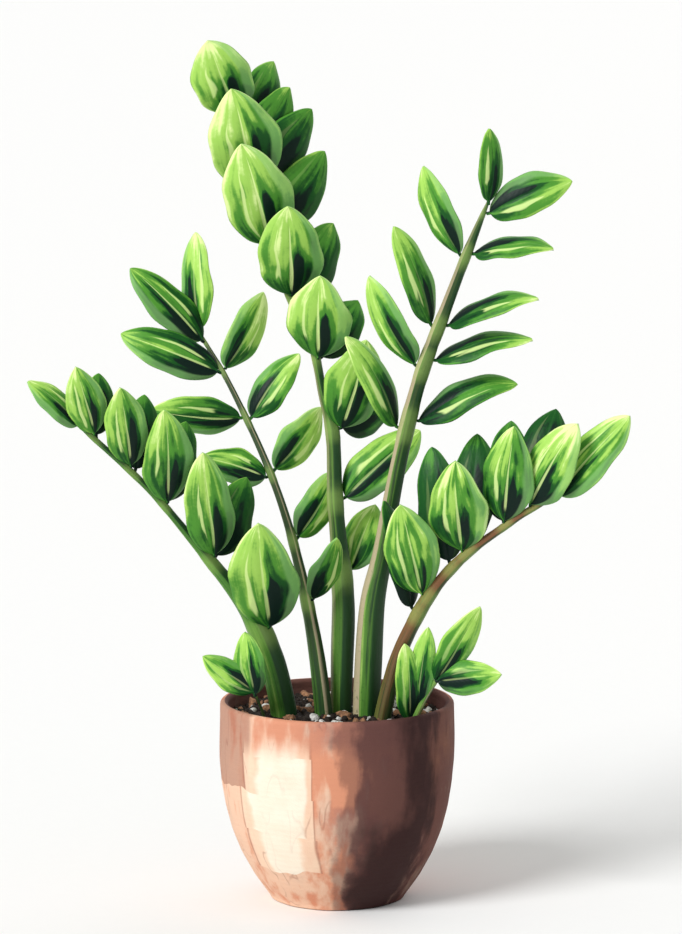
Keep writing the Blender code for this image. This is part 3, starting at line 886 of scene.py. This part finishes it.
def stem_rings(centres, radii, joints, looks, rng):
    """Rings round a stem, thicker at its joints, with the marks that its colouring needs."""
    tangents = np.gradient(centres, axis=0)
    angles = np.linspace(0, 2 * pi, STEM_SIDES, endpoint=False)
    phase = rng.uniform(0, 2 * pi)
    rings, lay, side = [], [], []
    run = distances(centres)
    for centre, tangent, radius, distance in zip(centres, tangents, radii, run):
        tangent = unit(tangent)
        across = unit(np.cross(FRONT, tangent))
        face = np.cross(tangent, across)
        gaps = [np.linalg.norm(centre - joint) / (radius + JOINT_REACH) for joint in joints]
        near = max((np.exp(-(gap**4)) for gap in gaps), default=0.0)
        swell = radius * looks.girth * (1.0 + looks.swelling * near)
        ribs = 1.0 + looks.flute * np.cos(6 * angles + phase + 9 * distance)
        out = swell * ribs
        rightward = np.outer(np.cos(angles) * out, across)
        rings.append(centre + rightward + np.outer(np.sin(angles) * out, face))
        lay.append([(-cos(angle), sin(angle), distance) for angle in angles])
        side.append([(near, distance / run[-1], 0.0)] * STEM_SIDES)
    return np.array(rings), np.array(lay), np.array(side)


def make_stem(name, node, line, joints, look, looks, material, seed):
    """One stem, from its planted foot to its point or its neck."""
    centres, radii = line
    rings, lay, side = stem_rings(centres, radii, joints, looks, random.Random(seed))
    side[..., 2] = seed
    tint = np.broadcast_to((look.tone, look.tan, look.tan_at), lay.shape)
    turn = np.broadcast_to((look.brown, look.shade, look.tan_wide), lay.shape)
    piece = loft(name, rings, material, {"lay": lay, "tint": tint, "side": side, "turn": turn})
    face_out(piece)
    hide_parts(node)


# Leaflets


def outline(along, fullness):
    """A blade's half width along its length, as a share of the greatest. fullness rounds the point."""
    base, point = 0.56, 0.67 + 0.07 * fullness
    widest = base / (base + point)
    peak = widest**base * (1 - widest) ** point
    return along**base * (1 - along) ** point / peak


def stalk_points(blade, root, rows):
    """Places along the short stalk, bending from inside the stem into the blade's own line."""
    bend = blade.base - blade.along * 0.002
    places = []
    for t in np.linspace(0, 1, rows, endpoint=False):
        places.append(root * (1 - t) ** 2 + bend * (2 * t * (1 - t)) + blade.base * t * t)
    return places


def blade_surface(blade, root, bow, looks, rng):
    """Closed rings round a blade from its stalk to its point, and their places in the blade."""
    columns = np.array([-c for c in HALF_COLUMNS[:0:-1]] + list(HALF_COLUMNS))
    ring_columns = np.concatenate((columns, columns[-2:0:-1]))
    upper = np.concatenate((np.ones(len(columns)), -np.ones(len(columns) - 2)))
    size = np.abs(ring_columns)
    phases = [rng.uniform(0, 2 * pi) for _ in range(6)]
    twist = rng.uniform(-0.16, 0.16)
    bow += rng.uniform(-0.03, 0.03)
    hook = rng.uniform(0.010, 0.035)
    fullness = min(max((blade.half_width / blade.length - 0.14) / 0.16, 0.0), 1.0)
    rings, lay = [], []
    for place in stalk_points(blade, root, STALK_ROWS):
        plate = np.sqrt(1 - size**2)
        ring = np.outer(ring_columns, blade.right) + np.outer(plate * upper, blade.face)
        rings.append(place + looks.stalk * ring)
        lay.append([(column * 0.2, 0.0, 0.0) for column in ring_columns])
    for t in np.linspace(0, 1, BLADE_ROWS):
        v = (1 - cos(pi * t)) / 2
        ripple = 1 + looks.wander * (sin(7 * v + phases[0]) + 0.6 * sin(17 * v + phases[1]))
        other = 1 + looks.wander * (sin(7 * v + phases[2]) + 0.6 * sin(17 * v + phases[3]))
        spread = outline(v, fullness) * blade.half_width * (looks.spread - 0.05 * fullness)
        width = np.where(ring_columns < 0, ripple, other) * spread
        bare = (1 - v) ** 3
        width = np.maximum(width, looks.stalk * bare + 0.0001)
        blend = min(max((spread / looks.stalk - 1) / 2.5, 0.0), 1.0)
        shaped = looks.fold * size - looks.roll * size**2
        waves = looks.wave * size**3 * np.sin(11 * v + np.where(ring_columns < 0, phases[4], phases[5]))
        rise = (shaped + waves) * width * blend
        rib = np.exp(-((size * spread / 0.0011) ** 2)) * blend * (1 - v)
        thick = looks.stalk * (1 - blend) + looks.thickness / 2 * blend * (1 - 0.45 * v)
        plate = thick * np.sqrt(np.maximum(1 - size ** (2 + 4 * blend), 0.0))
        surface = rise + plate * upper + np.where(upper > 0, -looks.groove, -looks.keel) * rib
        arch = blade.rise * 4 * v * (1 - v) - hook * blade.length * max(v - 0.7, 0.0) ** 2 / 0.09
        middle_line = blade.base + blade.along * (blade.length * v) + blade.face * arch
        middle_line = middle_line + blade.right * (bow * blade.length * 4 * v * (1 - v) * v)
        angle = twist * (v - 0.3)
        right = blade.right * cos(angle) + blade.face * sin(angle)
        face = blade.face * cos(angle) - blade.right * sin(angle)
        rings.append(middle_line + np.outer(ring_columns * width, right) + np.outer(surface, face))
        lay.append([(column, v, 0.0) for column in ring_columns])
    return np.array(rings), np.array(lay), upper


def make_leaflet(name, node, blade, root, look, looks, materials, seed):
    """One leaflet with its stalk."""
    rng = random.Random(seed)
    rings, lay, upper = blade_surface(blade, root, look.bow, looks, rng)
    lay[..., 2] = seed
    tone = look.tone + rng.uniform(-0.06, 0.06)
    tint = np.broadcast_to((tone, look.stripes, look.core * rng.uniform(0.8, 1.15)), lay.shape)
    under = np.where(upper > 0, 0.0, 1.0)
    side = np.zeros_like(lay)
    side[..., 0] = look.dark_side
    side[..., 1] = under[None, :]
    side[..., 2] = look.rib
    piece = loft(name, rings, materials[look.slot], {"lay": lay, "tint": tint, "side": side})
    face_out(piece)
    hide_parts(node)


def into_stem(blade, centres):
    """A point inside the stem, where a leaflet's stalk starts."""
    behind = blade.base - blade.along * 0.003
    nearest = centres[np.argmin(np.linalg.norm(centres - behind, axis=1))]
    return nearest + (blade.base - nearest) * 0.45


def make_frond(frond, looks, stem_looks, materials, seed):
    """The stem and all leaflets of one frond."""
    node = f"{frond}_stem"
    has_last = frond in LAST_LEAFLETS
    top = neck_level(node) if has_last else points_of(node)[:, 2].max() - 0.0005
    line = stem_line(node, top)
    centres = line[0]
    rows = sorted(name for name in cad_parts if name.startswith(f"{frond}_leaflet_"))
    joints = []
    for count, name in enumerate(rows):
        blade = blade_of(points_of(name))
        root = into_stem(blade, centres)
        joints.append(root)
        look = LOOKS.get(name) or LOOKS[name.rsplit("_", 1)[0]]
        make_leaflet(f"{name}_blade", name, blade, root, look, looks, materials, seed * 40 + count)
    if has_last:
        corners = points_of(node)
        blade = blade_of(corners[corners[:, 2] > top], centres[-1])
        root = centres[-1] - blade.along * 0.003
        look = LOOKS[f"{frond}_last"]
        make_leaflet(f"{frond}_last_blade", node, blade, root, look, looks, materials, seed * 40 + 39)
    look = STEM_LOOKS[frond]
    make_stem(f"{frond}_stalk", node, line, joints, look, stem_looks, materials["stem"], seed)


def make_shoot(shoot, looks, stem_looks, materials, seed):
    """A young shoot: a thin stem and its first leaflets."""
    low, high = (np.array(corner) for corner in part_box(shoot))
    roots = []
    for count, (root, tip, slim) in enumerate(SHOOT_LEAFLETS[shoot]):
        base = low + (high - low) * np.array(root)
        point = low + (high - low) * np.array(tip)
        along = unit(point - base)
        face = unit(FRONT - along * (FRONT @ along) + 0.25 * (-1) ** count * np.cross(along, FRONT))
        size = np.linalg.norm(point - base)
        blade = Blade(base, along, face, np.cross(along, face), size, size * slim / 2, size * 0.07)
        roots.append(base)
        inside = base - along * 0.002
        name = f"{shoot}_blade_{count + 1}"
        make_leaflet(name, shoot, blade, inside, LOOKS["shoot"], looks, materials, seed * 40 + count)
    line = shoot_line(shoot, roots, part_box("soil")[1].z)
    look = STEM_LOOKS[shoot]
    make_stem(f"{shoot}_stalk", shoot, line, roots, look, stem_looks, materials["stem"], seed)


def shoot_line(shoot, roots, soil):
    """Centres and radii of a shoot's stem, from its planted foot to its topmost leaflet's root."""
    foot = cut_at(shoot, soil + 0.0005)
    radius = np.ptp(foot[:, :2], axis=0).min() / 2
    top = max(roots, key=lambda root: root[2])
    start = middle(foot)
    planted = start - np.array((0.0, 0.0, 0.02))
    shares = np.linspace(0, 1, STEM_ROWS // 2)
    centres = np.array([planted * (1 - t) ** 2 + start * 2 * t * (1 - t) + top * t * t for t in shares])
    return centres, radius * (1 - 0.45 * shares)


# Operators


class ZZ_OT_planter(bpy.types.Operator):
    """Make the planter."""

    bl_idname = "zz.planter"
    bl_label = "Planter"

    def execute(self, context):
        make_planter(context.scene.zz_planter)
        return {"FINISHED"}


class ZZ_OT_soil(bpy.types.Operator):
    """Make the soil and the crumbs on it."""

    bl_idname = "zz.soil"
    bl_label = "Soil"

    def execute(self, context):
        looks = context.scene.zz_soil
        make_soil_bed(looks)
        feet = stem_feet()
        darker = [part * 0.4 for part in looks.peat]
        dirty = [part * 0.45 for part in looks.grit]
        paler = [min(part * 2.2, 1.0) for part in looks.bark]
        peat = grain_material("peat_crumbs", looks.peat, darker, 900.0)
        grit = grain_material("pale_grit", looks.grit, dirty, 500.0)
        bark = grain_material("bark", looks.bark, paler, 420.0)
        scatter("soil_crumbs", looks.crumbs, looks.crumb, 1.1, peat, 11, feet, looks)
        scatter("soil_grit", looks.grains, looks.crumb * 1.35, 1.1, grit, 12, feet, looks)
        scatter("soil_bark", looks.chips, looks.crumb * 1.35, 1.5, bark, 13, feet, looks)
        return {"FINISHED"}


class ZZ_OT_fronds(bpy.types.Operator):
    """Make the five grown fronds: stems and leaflets."""

    bl_idname = "zz.fronds"
    bl_label = "Fronds"

    def execute(self, context):
        scene = context.scene
        materials = plant_materials(scene)
        for seed, frond in enumerate(FRONDS, 1):
            make_frond(frond, scene.zz_leaflets, scene.zz_stems, materials, seed)
        return {"FINISHED"}


class ZZ_OT_shoots(bpy.types.Operator):
    """Make the two young shoots at the rim."""

    bl_idname = "zz.shoots"
    bl_label = "Young shoots"

    def execute(self, context):
        scene = context.scene
        materials = plant_materials(scene)
        for seed, shoot in enumerate(SHOOTS, 6):
            make_shoot(shoot, scene.zz_leaflets, scene.zz_stems, materials, seed)
        return {"FINISHED"}


def plant_materials(scene):
    """The materials of the green parts, made once."""
    leaves = scene.zz_leaflets
    made = bpy.data.materials
    if "leaf_front_rows" not in made:
        # Three copies of one leaf material that differ only in how strong their painted highlight and
        # sheen are: strong for the rows painted lit, faint for the rows painted in shade, between for
        # young shoots.
        leaf_material("leaf_front_rows", leaves, 0.85)
        leaf_material("leaf_back_rows", leaves, 0.12)
        leaf_material("leaf_young", leaves, 0.35)
        stem_material(scene.zz_stems)
    return {
        "leaflet_light": made["leaf_front_rows"],
        "leaflet_dark": made["leaf_back_rows"],
        "young_shoot": made["leaf_young"],
        "stem": made["stem_skin"],
    }


class ZZ_OT_stage(bpy.types.Operator):
    """Set the floor, lights and camera."""

    bl_idname = "zz.stage"
    bl_label = "Stage"

    def execute(self, context):
        looks = context.scene.zz_stage
        make_floor(looks)
        add_sun("key_light", looks.key, (0.62, 0.55, -0.62), 24)
        add_sun("fill_light", looks.fill, (-0.5, -0.75, -0.45), 60)
        world = bpy.data.worlds.new("studio")
        world.use_nodes = True
        world.node_tree.nodes["Background"].inputs["Color"].default_value = (1.0, 1.0, 1.0, 1.0)
        world.node_tree.nodes["Background"].inputs["Strength"].default_value = looks.sky
        context.scene.world = world
        context.scene.view_settings.view_transform = "Standard"
        aim_camera(context.scene, looks)
        return {"FINISHED"}


def make_floor(looks):
    """A wide pale floor."""
    mesh = bpy.data.meshes.new("floor")
    signs = ((-1, -1), (1, -1), (1, 1), (-1, 1))
    corners = [(x * FLOOR_HALF, y * FLOOR_HALF, -FLOOR_DROP) for x, y in signs]
    mesh.from_pydata(corners, [], [(0, 1, 2, 3)])
    mesh.materials.append(floor_material(looks))
    floor = bpy.data.objects.new("floor", mesh)
    bpy.context.scene.collection.objects.link(floor)


def add_sun(name, strength, direction, softness):
    """A broad, soft light that shines along a direction."""
    lamp = bpy.data.lights.new(name, "SUN")
    lamp.energy = strength
    lamp.angle = radians(softness)
    light = bpy.data.objects.new(name, lamp)
    light.rotation_euler = Vector(direction).to_track_quat("-Z", "Y").to_euler()
    bpy.context.scene.collection.objects.link(light)


def aim_camera(scene, looks):
    """A long lens at the front, a little above the plant's middle."""
    low, high = CAD_BOX
    target = Vector((0.003, 0.0, (low.z + high.z) / 2 + 0.0057))
    lens = bpy.data.cameras.new("camera")
    lens.lens = lens.sensor_width / 2 / (looks.view / looks.distance)
    camera = bpy.data.objects.new("camera", lens)
    away = Vector((0.0, -cos(looks.elevation), sin(looks.elevation)))
    camera.location = target + away * looks.distance
    camera.rotation_euler = (-away).to_track_quat("-Z", "Y").to_euler()
    scene.collection.objects.link(camera)
    scene.camera = camera


class ZZ_PT_panel(bpy.types.Panel):
    """Buttons for each group of pieces, with their sizes and colours."""

    bl_label = "ZZ plant"
    bl_idname = "ZZ_PT_panel"
    bl_space_type = "VIEW_3D"
    bl_region_type = "UI"
    bl_category = "ZZ plant"

    def draw(self, context):
        for operator, group in STEPS:
            box = self.layout.box()
            box.operator(operator)
            for name in getattr(context.scene, group).__annotations__:
                box.prop(getattr(context.scene, group), name)


STEPS = (
    ("zz.planter", "zz_planter"),
    ("zz.soil", "zz_soil"),
    ("zz.fronds", "zz_leaflets"),
    ("zz.shoots", "zz_stems"),
    ("zz.stage", "zz_stage"),
)
GROUPS = {
    "zz_planter": ZZ_PG_planter,
    "zz_soil": ZZ_PG_soil,
    "zz_leaflets": ZZ_PG_leaflets,
    "zz_stems": ZZ_PG_stems,
    "zz_stage": ZZ_PG_stage,
}
OPERATORS = (ZZ_OT_planter, ZZ_OT_soil, ZZ_OT_fronds, ZZ_OT_shoots, ZZ_OT_stage)
CLASSES = (*GROUPS.values(), *OPERATORS, ZZ_PT_panel)


def register():
    """Add the classes and their settings to Blender."""
    for made in CLASSES:
        bpy.utils.register_class(made)
    for name, group in GROUPS.items():
        setattr(bpy.types.Scene, name, PointerProperty(type=group))


def unregister():
    """Take them away again."""
    for name in GROUPS:
        delattr(bpy.types.Scene, name)
    for made in reversed(CLASSES):
        bpy.utils.unregister_class(made)


def main():
    """Make every piece."""
    register()
    bpy.ops.zz.planter()
    bpy.ops.zz.soil()
    bpy.ops.zz.fronds()
    bpy.ops.zz.shoots()
    bpy.ops.zz.stage()
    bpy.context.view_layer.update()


if __name__ == "__main__":
    main()
